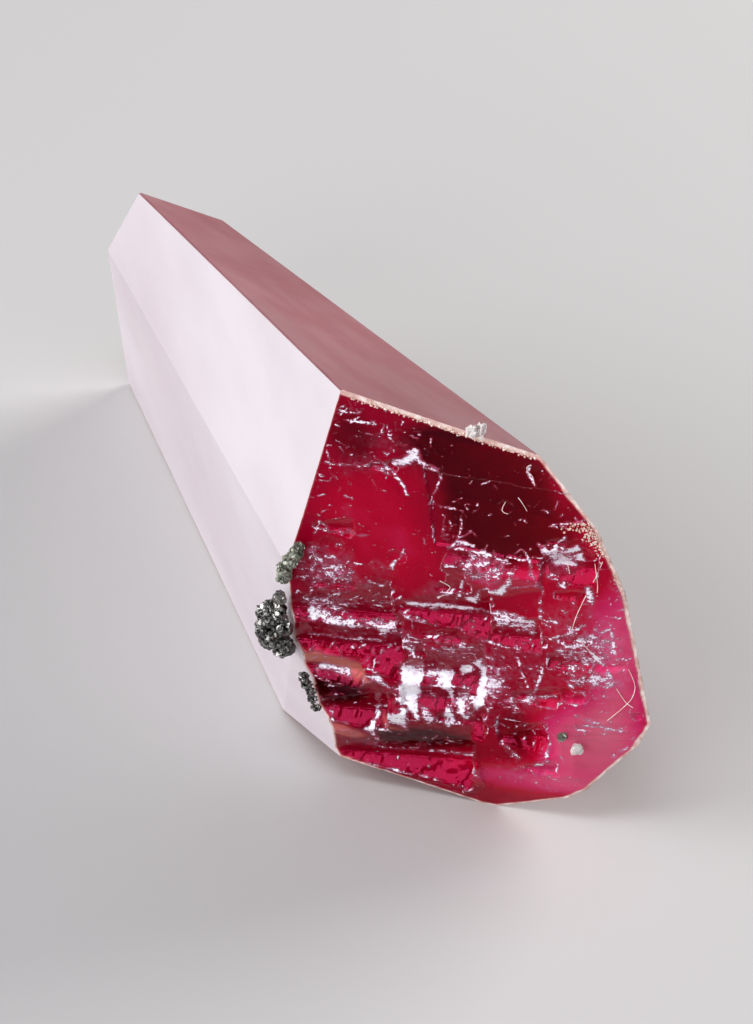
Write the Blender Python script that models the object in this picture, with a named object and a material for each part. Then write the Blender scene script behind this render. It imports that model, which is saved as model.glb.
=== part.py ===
# A single steep rhodochrosite crystal, about 50 mm long, lying on its flat lower face.
# It tapers towards a blunt tip at +Y. The end at -Y is a break, stepped along the three
# cleavage directions. Small sulfide and quartz crystals grow on the rim of the break.
#
# The long axis of the crystal tips down by PITCH towards the tip, so that the lower face is level.
# Directions are given by an azimuth round that axis (0 is +X, 90 is up) and an angle to it.

import math

import bmesh
import bpy
from mathutils import Matrix, Vector

MM = 0.001
UNDERSIDE = 270  # azimuth of the face that the crystal lies on
PITCH = 4.53  # degrees, slope of the long axis and of the level lower face to that axis
AXIS_HEIGHT = 10.41 * MM  # of the long axis over the ground, at the break
MIDDLE = Vector((0.05 * MM, 18.48 * MM, 0))  # of the whole over the ground, from the axis at the break
GAP = 0.3 * MM  # between a grown-on piece and the crystal
STOCK = 160 * MM  # side of the block that the crystal is cut from

# Long faces: azimuth, distance from the axis at the break, slope towards the axis in degrees
LONG_FACES = (
    (170, 6.28 * MM, 4.73),
    (190, 6.28 * MM, 4.73),
    (72, 6.28 * MM, 4.73),
    (36, 4.92 * MM, 3.70),
    (25, 4.78 * MM, 3.60),
    (16, 4.97 * MM, 3.70),
    (343, 7.95 * MM, 5.30),
    (325, 8.85 * MM, 5.50),
    (300, 10.20 * MM, 5.00),
    (UNDERSIDE, AXIS_HEIGHT / math.cos(math.radians(PITCH)), PITCH),
)
# Small facets at the lower left corner, which spread towards the break: azimuth, slope
CORNER_FACETS = ((201, -5.5), (251.5, -5.9))
CORNER = Vector((-3.94 * MM, 9.93 * MM, -9.62 * MM))  # where they meet the lower left edge
RIM_FACET_REACH = 6.17 * MM  # from the axis to the first of them, at the break
# Faces that end the tip: azimuth, angle to the axis, a point on the face
TIP_FACES = (
    (45, 53, Vector((-2.43 * MM, 38.36 * MM, 4.05 * MM))),
    (90, 7.4, Vector((-2.81 * MM, 42.49 * MM, 0))),
)

# The break: its mean direction, and a point on it below the axis
BREAK_AZIMUTH = 202.6
BREAK_ANGLE = 36.6  # degrees between its outward normal and the axis
BREAK_POINT = Vector((-0.42 * MM, 0.01 * MM, -6.79 * MM))
BREAK_RISE = 0.25 * MM  # of its middle over the mean plane
# Where it falls away at its borders: sideways and upward place of the fold, tilts in degrees
BREAK_FOLDS = (
    (0, -1.2 * MM, 0, -14),
    (5.9 * MM, 0, 15, 0),
    (0, 9.5 * MM, 0, 3),
)

# Cleavage of the crystal: three directions, 120 degrees apart round the axis
CLEAVAGE_AZIMUTHS = (240, 120, 0)
CELL_EDGE_ANGLE = 63.7  # degrees between the edges of a cleavage block and the axis

# Ledges: grooves with cleavage faces, given by the left end of their floor line, their depth and length
LEDGES = (
    (-6.4, 4.6, 0.30, 4.6),
    (-6.3, 3.0, 0.36, 4.9),
    (-6.0, 1.8, 0.32, 3.0),
    (-1.5, 5.5, 0.24, 3.8),
    (-1.7, 2.3, 0.45, 3.8),
    (-1.2, 1.2, 0.40, 2.6),
    (0.2, 0.3, 0.34, 1.9),
    (-5.2, -0.1, 0.42, 3.2),
    (-2.5, -1.3, 0.40, 4.1),
    (-4.3, -2.3, 0.30, 5.8),
    (2.4, 5.0, 0.28, 2.0),
    (4.5, 8.7, 0.42, 2.1),
    (2.8, 0.1, 0.26, 1.9),
    (4.8, 4.2, 0.24, 3.0),
)
# Flat recesses: left, low, width, height and depth
RECESSES = (
    (0.1, 9.0, 9.0, 3.3, 0.12),
    (-5.1, 0.2, 3.0, 0.9, 0.34),
    (2.8, 0.1, 1.9, 1.0, 0.24),
)
RECESS_LEAN = 0.16  # sideways per upward, of the recesses' side walls, near that of the steep cleavage
CUTTER_REACH = 3 * MM  # how far a cutter goes out past the break
# Raised cleavage blocks: left end of the crest, height and lengths along the three block edges
BLOCKS = (
    (0.5, 7.9, 0.42, 1.5, 1.3, 2.7),
    (3.2, 8.2, 0.34, 0.9, 0.8, 1.1),
    (-1.2, 1.5, 0.40, 0.9, 0.8, 1.5),
)

# Small minerals on the rim of the break. Lumps: back from the break along the face, up, out, radius
CLUSTER_UP = 3.7  # mm, place of its middle up the rim
CLUSTER_LUMPS = (
    (0.3, -0.9, 0.6, 0.38),
    (-0.1, -0.6, 0.4, 0.36),
    (0.9, -0.6, 0.9, 0.44),
    (0.3, -0.1, 0.9, 0.46),
    (1.1, -0.1, 1.0, 0.46),
    (0.5, 0.4, 0.8, 0.42),
    (-0.1, 0.3, 0.4, 0.32),
    (1.3, 0.5, 0.9, 0.40),
    (0.8, 0.9, 0.7, 0.36),
    (0.3, 0.8, 0.5, 0.30),
    (0.3, 1.3, 0.4, 0.26),
    (0.1, 1.7, 0.4, 0.26),
)
DRUSE_UP = 7.0
DRUSE_LUMPS = (
    (-0.4, -0.6, 0.1, 0.32),
    (-0.5, -0.2, 0.2, 0.34),
    (-0.7, 0.3, 0.1, 0.34),
    (-0.8, 0.7, 0.0, 0.32),
    (-0.9, 1.0, 0.0, 0.28),
)
SPECKS_UP = 0.9
SPECK_LUMPS = (
    (0.0, 1.0, 0.4, 0.24),
    (0.0, 0.6, 0.35, 0.26),
    (-0.1, 0.2, 0.3, 0.24),
    (-0.1, -0.2, 0.3, 0.26),
    (-0.2, -0.6, 0.3, 0.24),
)
# Grains low on the break: sideways and upward place, and half sizes
GREEN_GRAIN = ((5.55, 1.15), (0.30, 0.22, 0.26))
QUARTZ_GRAIN = ((6.15, 0.65), (0.36, 0.24, 0.24))
# Quartz points on the upper rim: places round their foot, lean sideways and outward, radius and length
QUARTZ_FOOT = (1.70, 14.55)
PRISM_SIDES = 6
PRISM_SHARE = 0.62  # of a point's length, up to its pyramid
QUARTZ_POINTS = (
    (0.0, 0.0, 0.1, 0.4, 0.26, 0.80),
    (-0.20, 0.0, -0.6, 0.5, 0.17, 0.75),
    (0.22, 0.0, 0.7, 0.5, 0.18, 0.75),
    (-0.05, -0.1, -0.2, 1.2, 0.16, 0.70),
)


def clear_scene():
    for scene_object in list(bpy.data.objects):
        bpy.data.objects.remove(scene_object, do_unlink=True)


def make_material(name, colour, roughness, metallic=0.0, transmission=0.0):
    material = bpy.data.materials.new(name)
    material.use_nodes = True
    shader = material.node_tree.nodes["Principled BSDF"]
    shader.inputs["Base Color"].default_value = (*colour, 1)
    shader.inputs["Roughness"].default_value = roughness
    shader.inputs["Metallic"].default_value = metallic
    shader.inputs["Transmission Weight"].default_value = transmission
    return material


def add_object(name, bm, material=None):
    """Recalculates the outward normals of a bmesh and makes it an object."""
    bmesh.ops.recalc_face_normals(bm, faces=bm.faces)
    mesh = bpy.data.meshes.new(name)
    bm.to_mesh(mesh)
    bm.free()
    made = bpy.data.objects.new(name, mesh)
    bpy.context.scene.collection.objects.link(made)
    if material:
        mesh.materials.append(material)
    return made


def hide_cutter(cutter):
    cutter.hide_render = True
    cutter.display_type = "WIRE"
    cutter.hide_set(True)


def combine(target, tool, operation):
    modifier = target.modifiers.new(tool.name, "BOOLEAN")
    modifier.operation = operation
    modifier.solver = "EXACT"
    modifier.object = tool
    hide_cutter(tool)


def crystal_to_world():
    """The crystal's own frame has its axis along Y, through the origin, at the break."""
    lift = Matrix.Translation(Vector((0, 0, AXIS_HEIGHT)) - MIDDLE)
    return lift @ Matrix.Rotation(math.radians(-PITCH), 4, "X")


def direction(azimuth, angle_to_axis, towards_tip=True):
    """Unit vector in the crystal's frame."""
    turn, lean = math.radians(azimuth), math.radians(angle_to_axis)
    along = math.cos(lean) if towards_tip else -math.cos(lean)
    return Vector((math.sin(lean) * math.cos(turn), along, math.sin(lean) * math.sin(turn)))


def face_normal(azimuth, slope):
    return direction(azimuth, 90 - slope)


def break_frame():
    """Sideways, upward and outward directions of the break."""
    outward = direction(BREAK_AZIMUTH, BREAK_ANGLE, towards_tip=False)
    level = Matrix.Rotation(math.radians(PITCH), 3, "X") @ Vector((0, 0, 1))
    sideways = level.cross(outward).normalized()
    return sideways, outward.cross(sideways).normalized(), outward


def break_point(sideways_mm, upward_mm, height):
    """Point over the mean plane of the break; the two places are in millimetres."""
    sideways, upward, outward = break_frame()
    return BREAK_POINT + sideways * (sideways_mm * MM) + upward * (upward_mm * MM) + outward * height


def break_planes(clearance):
    """The main plane of the break and the planes that fall away from it, as point and normal."""
    sideways, upward, outward = break_frame()
    planes = [(BREAK_POINT + outward * (BREAK_RISE + clearance), outward)]
    for aside, above, tilt_aside, tilt_up in BREAK_FOLDS:
        normal = outward + sideways * math.tan(math.radians(tilt_aside))
        normal += upward * math.tan(math.radians(tilt_up))
        normal.normalize()
        fold = BREAK_POINT + sideways * aside + upward * above + outward * BREAK_RISE
        planes.append((fold + normal * clearance, normal))
    return planes


def side_planes(clearance):
    planes = []
    for azimuth, distance, slope in LONG_FACES:
        normal = face_normal(azimuth, slope)
        around = direction(azimuth, 90)
        planes.append((around * distance + normal * clearance, normal))
    for azimuth, slope in CORNER_FACETS:
        normal = face_normal(azimuth, slope)
        planes.append((CORNER + normal * clearance, normal))
    for azimuth, angle, point in TIP_FACES:
        normal = direction(azimuth, angle)
        planes.append((point + normal * clearance, normal))
    return planes


def cut_from_block(planes):
    """A convex body: what is left of a block inside all the planes."""
    bm = bmesh.new()
    bmesh.ops.create_cube(bm, size=STOCK)
    for point, normal in planes:
        geometry = bm.verts[:] + bm.edges[:] + bm.faces[:]
        bmesh.ops.bisect_plane(bm, geom=geometry, plane_co=point, plane_no=normal, clear_outer=True)
        rim = [edge for edge in bm.edges if edge.is_boundary]
        bmesh.ops.holes_fill(bm, edges=rim, sides=0)
    bmesh.ops.remove_doubles(bm, verts=bm.verts, dist=0.001 * MM)
    bmesh.ops.transform(bm, matrix=crystal_to_world(), verts=bm.verts)
    return bm


def cell(name, corner, edges):
    """A block with parallel faces, from a corner and three edge vectors."""
    bm = bmesh.new()
    bmesh.ops.create_cube(bm, size=1)
    for vert in bm.verts:
        steps = [coordinate + 0.5 for coordinate in vert.co]
        vert.co = corner + sum((edge * step for edge, step in zip(edges, steps)), Vector())
    bmesh.ops.transform(bm, matrix=crystal_to_world(), verts=bm.verts)
    return add_object(name, bm)


def cell_edges():
    """Unit edge vectors of a cleavage block: down-left, up-left and right, all outward."""
    return [direction(azimuth, CELL_EDGE_ANGLE, towards_tip=False) for azimuth in CLEAVAGE_AZIMUTHS]


def ledge_cutter(number, aside, above, depth_mm, length_mm):
    down, up, right = cell_edges()
    floor_line = break_point(aside, above, BREAK_RISE - depth_mm * MM)
    edges = (down * CUTTER_REACH, up * CUTTER_REACH, right * length_mm * MM)
    return cell(f"ledge_cut_{number}", floor_line, edges)


def recess_cutter(number, aside, above, width, height, depth_mm):
    sideways, upward, outward = break_frame()
    corner = break_point(aside, above, BREAK_RISE - depth_mm * MM)
    wall = upward - sideways * RECESS_LEAN
    edges = (sideways * width * MM, wall * height * MM, outward * CUTTER_REACH)
    return cell(f"recess_cut_{number}", corner, edges)


def raised_block(number, aside, above, height_mm, down_mm, up_mm, right_mm):
    down, up, right = cell_edges()
    crest = break_point(aside, above, BREAK_RISE + height_mm * MM)
    root = crest - down * down_mm * MM - up * up_mm * MM
    return cell(f"raised_block_{number}", root, (down * down_mm * MM, up * up_mm * MM, right * right_mm * MM))


def make_crystal():
    material = make_material("rhodochrosite_red", (0.42, 0.02, 0.05), 0.15)
    bm = cut_from_block(side_planes(0) + break_planes(0))
    crystal = add_object("rhodochrosite_crystal", bm, material)
    for number, block in enumerate(BLOCKS):
        combine(crystal, raised_block(number, *block), "UNION")
    for number, recess in enumerate(RECESSES):
        combine(crystal, recess_cutter(number, *recess), "DIFFERENCE")
    for number, ledge in enumerate(LEDGES):
        combine(crystal, ledge_cutter(number, *ledge), "DIFFERENCE")
    return crystal


def rim_frame(azimuth, distance, slope, upward_mm):
    """Point of the break's rim on one long face, with the directions back, up and out there."""
    sideways, upward, _ = break_frame()
    out = face_normal(azimuth, slope)
    start = break_point(0, upward_mm, BREAK_RISE)
    inside = (direction(azimuth, 90) * distance - start).dot(out)
    foot = start + sideways * (inside / sideways.dot(out))
    back = (Vector((0, 1, 0)) - out * out.y).normalized()
    return foot, back, (upward - out * upward.dot(out)).normalized(), out


def trim_to_crystal(piece):
    """Keeps a grown-on piece clear of the crystal."""
    bm = cut_from_block(side_planes(GAP) + break_planes(GAP))
    combine(piece, add_object(piece.name + "_seat", bm), "DIFFERENCE")


def make_lumps(name, material, face, upward_mm, lumps, subdivisions):
    """Grape-like lumps on the rim, joined in one body."""
    foot, back, up, out = rim_frame(*face, upward_mm)
    first = None
    for number, (lump_back, lump_up, lump_out, radius) in enumerate(lumps):
        place = foot + (back * lump_back + up * lump_up + out * lump_out) * MM
        bm = bmesh.new()
        turn = Matrix.Rotation(number, 4, "X") @ Matrix.Rotation(number * 2, 4, "Y")
        bmesh.ops.create_icosphere(bm, subdivisions=subdivisions, radius=radius * MM)
        bmesh.ops.transform(bm, matrix=Matrix.Translation(place) @ turn, verts=bm.verts)
        bmesh.ops.transform(bm, matrix=crystal_to_world(), verts=bm.verts)
        if first is None:
            first = add_object(name, bm, material)
        else:
            combine(first, add_object(f"{name}_lump_{number}", bm), "UNION")
    trim_to_crystal(first)


def make_sulfides():
    lower_left, upper_left = LONG_FACES[1], LONG_FACES[0]
    facet_azimuth, facet_slope = CORNER_FACETS[0]
    rim_facet = (facet_azimuth, RIM_FACET_REACH, facet_slope)
    dark = make_material("dark_sulfide", (0.06, 0.06, 0.065), 0.3, metallic=0.8)
    green = make_material("green_grey_crust", (0.16, 0.18, 0.13), 0.5)
    make_lumps("sulfide_cluster", dark, lower_left, CLUSTER_UP, CLUSTER_LUMPS, 2)
    make_lumps("sulfide_druse", green, upper_left, DRUSE_UP, DRUSE_LUMPS, 1)
    make_lumps("sulfide_specks", dark, rim_facet, SPECKS_UP, SPECK_LUMPS, 1)


def make_grain(name, material, place, half_sizes):
    """A blocky grain that lies on the break."""
    sideways, upward, outward = break_frame()
    width, height, depth = (half * MM for half in half_sizes)
    middle = break_point(*place, BREAK_RISE + GAP + depth)
    bm = bmesh.new()
    bmesh.ops.create_icosphere(bm, subdivisions=1, radius=1)
    for vert in bm.verts:
        aside, above, out = vert.co
        vert.co = middle + sideways * aside * width + upward * above * height + outward * out * depth
    bmesh.ops.transform(bm, matrix=crystal_to_world(), verts=bm.verts)
    trim_to_crystal(add_object(name, bm, material))


def quartz_point(name, foot, growth, radius, length, material=None):
    """A six-sided prism with a pyramid on it."""
    turn = growth.to_track_quat("Z", "Y")
    bm = bmesh.new()
    rings = []
    for height in (0, PRISM_SHARE * length):
        angles = (math.tau * side / PRISM_SIDES for side in range(PRISM_SIDES))
        ring = [Vector((radius * math.cos(a), radius * math.sin(a), height)) for a in angles]
        rings.append([bm.verts.new(foot + turn @ point) for point in ring])
    tip = bm.verts.new(foot + growth * length)
    bm.faces.new(rings[0])
    for side in range(PRISM_SIDES):
        after = (side + 1) % PRISM_SIDES
        bm.faces.new((rings[0][side], rings[0][after], rings[1][after], rings[1][side]))
        bm.faces.new((rings[1][side], rings[1][after], tip))
    bmesh.ops.transform(bm, matrix=crystal_to_world(), verts=bm.verts)
    return add_object(name, bm, material)


def make_quartz():
    clear = make_material("clear_quartz", (0.95, 0.94, 0.92), 0.05, transmission=1.0)
    sideways, _, outward = break_frame()
    azimuth, _, slope = LONG_FACES[2]
    top = face_normal(azimuth, slope)
    first = None
    for number, (aside, above, lean_aside, lean_out, radius, length) in enumerate(QUARTZ_POINTS):
        foot = break_point(QUARTZ_FOOT[0] + aside, QUARTZ_FOOT[1] + above, BREAK_RISE)
        growth = (top + sideways * lean_aside + outward * lean_out).normalized()
        if first is None:
            first = quartz_point("quartz_druse", foot, growth, radius * MM, length * MM, clear)
        else:
            point = quartz_point(f"quartz_point_{number}", foot, growth, radius * MM, length * MM)
            combine(first, point, "UNION")
    trim_to_crystal(first)
    make_grain("quartz_grain", clear, *QUARTZ_GRAIN)


def main():
    clear_scene()
    make_crystal()
    make_sulfides()
    make_grain("green_grain", make_material("green_mineral", (0.10, 0.14, 0.08), 0.4), *GREEN_GRAIN)
    make_quartz()


main()
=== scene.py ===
import functools
import math

import bpy
import numpy as np
from mathutils import Matrix, Vector


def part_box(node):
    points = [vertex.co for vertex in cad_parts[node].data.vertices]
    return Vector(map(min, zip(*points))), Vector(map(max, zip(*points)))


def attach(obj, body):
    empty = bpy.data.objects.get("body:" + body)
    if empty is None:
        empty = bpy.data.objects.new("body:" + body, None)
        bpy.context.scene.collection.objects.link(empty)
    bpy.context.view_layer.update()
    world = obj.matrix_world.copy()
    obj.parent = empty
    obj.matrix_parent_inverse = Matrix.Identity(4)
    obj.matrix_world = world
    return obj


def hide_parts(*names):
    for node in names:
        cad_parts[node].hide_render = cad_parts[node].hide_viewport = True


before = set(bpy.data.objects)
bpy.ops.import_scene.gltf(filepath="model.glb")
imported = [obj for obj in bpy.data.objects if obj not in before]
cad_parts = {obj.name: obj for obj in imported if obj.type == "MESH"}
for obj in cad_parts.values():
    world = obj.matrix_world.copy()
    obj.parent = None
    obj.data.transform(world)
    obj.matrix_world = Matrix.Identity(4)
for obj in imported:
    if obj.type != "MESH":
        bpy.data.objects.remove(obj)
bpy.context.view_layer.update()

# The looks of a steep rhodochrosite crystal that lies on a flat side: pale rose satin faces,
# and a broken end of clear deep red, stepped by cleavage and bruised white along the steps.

MM = 0.001

# The crystal's frame: long axis along Y through the break, tipped down so that the underside is level
UNDERSIDE = 270
PITCH = 4.53
AXIS_HEIGHT = 10.41 * MM
MIDDLE = Vector((0.05 * MM, 18.48 * MM, 0))
# Long faces: azimuth, distance from the axis at the break, slope towards the axis
LONG_FACES = (
    (170, 6.28 * MM, 4.73),
    (190, 6.28 * MM, 4.73),
    (72, 6.28 * MM, 4.73),
    (36, 4.92 * MM, 3.70),
    (25, 4.78 * MM, 3.60),
    (16, 4.97 * MM, 3.70),
    (343, 7.95 * MM, 5.30),
    (325, 8.85 * MM, 5.50),
    (300, 10.20 * MM, 5.00),
    (UNDERSIDE, AXIS_HEIGHT / math.cos(math.radians(PITCH)), PITCH),
)
# How thick the pale coat shows where the break cuts each long face, in mm
COAT_EDGES = (0.02, 0.05, 0.20, 0.13, 0.15, 0.15, 0.17, 0.11, 0.08, 0.06)
CORNER_EDGES = (0.06, 0.06)
CORNER_FACETS = ((201, -5.5), (251.5, -5.9))
CORNER = Vector((-3.94, 9.93, -9.62)) * MM
TIP_FACES = (
    (45, 53, Vector((-2.43, 38.36, 4.05)) * MM),
    (90, 7.4, Vector((-2.81, 42.49, 0)) * MM),
)
BREAK_AZIMUTH = 202.6
BREAK_ANGLE = 36.6
BREAK_POINT = Vector((-0.42, 0.01, -6.79)) * MM
BREAK_RISE = 0.25  # mm
BREAK_FOLDS = ((0, -1.2, 0, -14), (5.9, 0, 15, 0), (0, 9.5, 0, 3))
BLOCK_LENGTH = 70 * MM  # of the block from which the faces are cut
EDGE_WEAR = 0.10 * MM  # width of the worn flat along a sharp edge
WORN_EDGES = ((0, 2), (1, 9), (2, 3), (5, 6), (7, 8), (8, 9))

# Slopes of the three cleavage planes over the break: height per mm sideways and upward
TREAD = (-0.151, 0.423)
RISER = (-0.148, -1.204)
STEEP = (-4.69, -0.412)

# Grid of the broken face, in mm
FACE_LEFT, FACE_RIGHT, FACE_LOW, FACE_HIGH = -7.6, 10.2, -4.3, 16.4
FACE_STEP = 0.057
NOISE_SIDE = 509  # cells along the noise lattice before it repeats

# Grooves along the cleavage: left end, height, depth, length
LEDGES = (
    (-6.4, 4.6, .30, 4.6), (-6.3, 3.0, .36, 4.9), (-6.0, 1.8, .32, 3.0), (-1.5, 5.5, .24, 3.8),
    (-1.7, 2.3, .45, 3.8), (-1.2, 1.2, .40, 2.6), (0.2, 0.3, .34, 1.9), (-5.2, -0.1, .42, 3.2),
    (-2.5, -1.3, .40, 4.1), (-4.3, -2.3, .30, 5.8), (2.4, 5.0, .28, 2.0), (4.5, 8.7, .42, 2.1),
    (2.8, 0.1, .26, 1.9), (4.8, 4.2, .24, 3.0), (-5.3, 3.9, .13, 3.6), (-5.6, 2.45, .12, 2.4),
    (-2.2, 3.4, .12, 1.7), (-0.4, 4.5, .12, 1.5), (0.2, 6.9, .12, 1.1), (1.0, 6.3, .14, 0.9),
    (-5.0, 5.3, .10, 2.0), (-4.9, 6.1, .09, 1.5), (-3.3, -1.7, .12, 2.2), (-2.9, 0.9, .14, 1.2),
    (5.2, 5.4, .12, 1.4), (5.9, 6.2, .10, 1.0), (3.4, 2.3, .12, 1.7), (5.4, 2.6, .16, 0.8),
    (6.0, 1.2, .10, 1.5), (3.9, -1.2, .12, 1.2), (-2.6, 12.1, .10, 0.9), (-4.9, 8.9, .08, 1.5),
    (4.3, 9.9, .14, 1.0), (5.0, 7.5, .10, 1.2),
)
# Flat recesses: left, low, width, height, depth
RECESSES = ((0.1, 9.0, 9.0, 3.3, .12), (-5.1, 0.2, 3.0, 0.9, .34), (2.8, 0.1, 1.9, 1.0, .24))
RECESS_LEAN = 0.16
# The very fine steps: how many to the mm, where their crest is, and their depth in mm
FINE_STEPS_PER_MM = 1.6
CREST_SHARE = 0.72
FINE_STEP_DEPTH = 0.085
# Raised cleavage corners: place of the crest, height, reach to the left
BLOCKS = (
    (3.2, 8.1, .42, 2.7), (4.35, 8.3, .30, 1.1), (0.3, 2.5, .40, 1.5), (-1.1, 0.4, .34, 1.0),
    (-2.45, -0.2, .30, 0.5), (1.95, -1.5, .24, 0.8), (1.85, 7.0, .22, 0.7), (4.2, 5.7, .14, 1.5),
    (0.85, 2.4, .22, 0.6), (-1.75, 4.3, .10, 1.9),
)
# Conchoidal chips: middle, radius, depth
CHIPS = (
    (-1.2, 12.0, .95, .10), (-4.2, 8.1, .55, .07), (-1.5, 8.1, .42, .06), (-2.2, 6.7, .34, .06),
    (3.9, 13.0, .50, .07), (2.9, 11.2, .32, .05), (5.2, 9.0, .75, .16), (6.0, 9.7, .80, .12),
    (4.3, 0.2, 1.0, .12), (5.5, 2.9, .34, .15), (6.5, 5.0, 1.0, .10), (7.0, 2.2, .8, .07),
    (1.3, 2.8, .28, .14), (1.9, 8.0, .6, .08), (-4.0, 1.0, .5, .07), (8.3, 1.9, .25, .14),
)
# Bruised white streaks: from, to, half width, strength
BRUISES = (
    (-5.5, 3.4, -4.2, 3.36, .06, .55), (-4.2, 3.3, -2.5, 3.3, .08, .6), (-1.1, 5.2, 0.1, 5.1, .05, .6),
    (1.0, 1.5, 1.9, 1.7, .07, .9), (1.1, 9.2, 1.6, 9.15, .07, .8), (1.6, 9.0, 3.1, 8.8, .035, .75),
    (1.05, 6.6, 1.25, 7.5, .035, .8), (.2, 6.4, .8, 6.95, .03, .75), (3.7, 9.3, 4.4, 8.05, .03, .8),
    (3.25, 7.7, 4.4, 8.0, .03, .55), (4.45, 8.0, 4.4, 6.3, .025, .6), (4.4, 6.3, 5.7, 6.15, .02, .55),
    (5.1, 10.8, 6.2, 11.25, .04, .6), (5.35, 10.3, 4.95, 9.8, .04, .75), (.45, 10.3, .35, 9.4, .018, .55),
    (-4.9, 8.6, -4.6, 9.2, .02, .55), (-4.6, 9.2, -4.3, 8.75, .02, .55), (-4.3, 8.7, -2.6, 8.9, .025, .5),
    (-1.15, 8.5, -1.7, 7.6, .022, .75), (-2.6, 6.7, -2.15, 6.42, .035, .7),
    (-2.15, 6.42, -1.9, 6.8, .025, .6), (3.9, 13.35, 3.72, 12.95, .02, .85),
    (3.72, 12.95, 4.1, 12.5, .025, .8), (-3.7, 14.0, -2.7, 14.05, .02, .6),
    (-4.1, 14.35, -3.0, 14.45, .02, .5), (3.0, 2.05, 4.95, 2.45, .10, .55),
    (4.3, -1.0, 4.85, -.6, .05, .85), (4.75, -.6, 4.9, .2, .045, .7), (2.9, -.1, 3.6, -.75, .08, .45),
    (4.9, 5.4, 6.2, 6.2, .07, .6), (5.9, 5.4, 7.2, 6.1, .08, .55), (7.2, 6.0, 7.5, 4.6, .06, .7),
    (6.4, 5.0, 6.9, 4.2, .06, .75), (6.9, 4.3, 7.4, 3.6, .05, .6), (4.5, 4.0, 4.3, 2.8, .035, .7),
    (3.5, 4.3, 3.95, 2.9, .028, .75), (5.4, 3.6, 6.3, 2.9, .05, .55), (6.2, 1.4, 7.9, 1.2, .035, .5),
    (6.0, 1.9, 6.8, 1.5, .07, .55), (7.4, -.1, 7.9, .4, .05, .5), (-1.3, 3.9, -.9, 3.4, .05, .7),
)
# Whitened facets: strength, then the corners, in the close-up, in the picture, and in mm on the break
CLOSE_UP_PATCHES = (
    (1, (790, 610), (880, 620), (960, 630), (990, 690), (960, 760), (940, 830), (960, 900), (950, 960),
     (915, 930), (880, 860), (830, 850), (800, 760), (820, 700)),
    (0.9, (1000, 660), (1090, 660), (1195, 670), (1190, 740), (1195, 820), (1190, 900), (1170, 880),
     (1165, 810), (1120, 750), (1050, 720), (1000, 700)),
    (1, (1150, 900), (1200, 930), (1215, 1030), (1180, 1050), (1140, 1020), (1130, 960)),
    (1, (1215, 880), (1270, 850), (1340, 830), (1340, 870), (1280, 890), (1290, 950), (1320, 1000),
     (1290, 1030), (1255, 960), (1220, 920)),
    (1, (1330, 600), (1390, 560), (1420, 620), (1450, 700), (1450, 800), (1430, 870), (1390, 920),
     (1370, 900), (1370, 800), (1390, 740), (1370, 680)),
    (1, (1225, 630), (1265, 610), (1305, 630), (1315, 670), (1295, 710), (1250, 715), (1222, 680)),
    (0.65, (990, 880), (1080, 950), (1060, 1000), (1030, 1030), (1000, 990), (975, 930)),
    (0.95, (560, 650), (660, 640), (690, 690), (740, 730), (780, 740), (720, 740), (640, 690)),
    (1, (650, 940), (750, 930), (800, 900), (840, 880), (880, 890), (860, 960), (865, 1085), (800, 1010),
     (740, 980), (680, 950)),
    (1, (630, 930), (600, 950), (600, 1000), (550, 1060), (590, 1100), (625, 1170), (615, 1080)),
    (0.72, (200, 195), (380, 240), (540, 280), (740, 305), (740, 340), (640, 345), (540, 330), (430, 320),
     (300, 280), (220, 245)),
    (1, (125, 180), (195, 180), (220, 220), (180, 240), (135, 215)),
    (0.95, (620, 330), (700, 330), (715, 360), (690, 395), (650, 380)),
    (0.72, (160, 590), (250, 590), (330, 630), (440, 660), (440, 690), (340, 670), (230, 640), (170, 620)),
    (0.7, (850, 100), (1000, 120), (1130, 130), (1330, 180), (1460, 230), (1440, 245), (1180, 195),
     (990, 180), (860, 130)),
    (0.58, (640, 1235), (950, 1280), (1250, 1335), (1250, 1360), (1150, 1345), (800, 1275), (640, 1260)),
    (0.95, (1310, 1335), (1345, 1270), (1370, 1310), (1395, 1395), (1330, 1375), (1250, 1360),
     (1250, 1340)),
)
PICTURE_PATCHES = (
    (.85, (480.7, 590.5), (496, 587), (507, 578.6), (508.8, 569.4), (515, 570), (511.6, 581), (504.5, 594),
     (493, 592)),
    (.9, (463, 601), (472.3, 599.6), (478.6, 589.8), (475, 608), (471.6, 609.4)),
    (.85, (388.7, 465.6), (400.7, 460), (410.5, 450), (418, 453), (419, 461), (435.7, 471), (438.6, 479.6),
     (424.5, 467.7), (413, 465), (403.5, 469), (390.8, 469.8)),
)
PATCHES = (
    (.66, (2.45, 6.25), (3.0, 6.42), (4.28, 6.12), (4.05, 5.0), (3.6, 5.5), (2.6, 5.6)),
    (.75, (4.25, 9.75), (4.75, 9.6), (5.2, 10.1), (5.0, 9.2), (4.55, 9.2)),
    (.8, (4.6, 9.3), (5.3, 9.2), (5.7, 8.75), (5.1, 8.6), (4.7, 8.7)),
    (1.0, (5.6, 9.35), (5.95, 9.45), (6.05, 9.1), (5.7, 9.05)),
    (1.0, (5.35, 9.7), (5.75, 9.95), (5.9, 9.7), (5.55, 9.5)),
    (.9, (5.1, 8.3), (5.35, 8.35), (5.4, 8.05), (5.15, 8.0)),
    (1.0, (6.25, 8.2), (6.45, 8.15), (6.5, 7.4), (6.25, 7.45)),
    (.42, (1.35, 9.05), (3.0, 8.75), (2.9, 8.0), (2.0, 7.6), (1.3, 8.0)),
)
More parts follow.
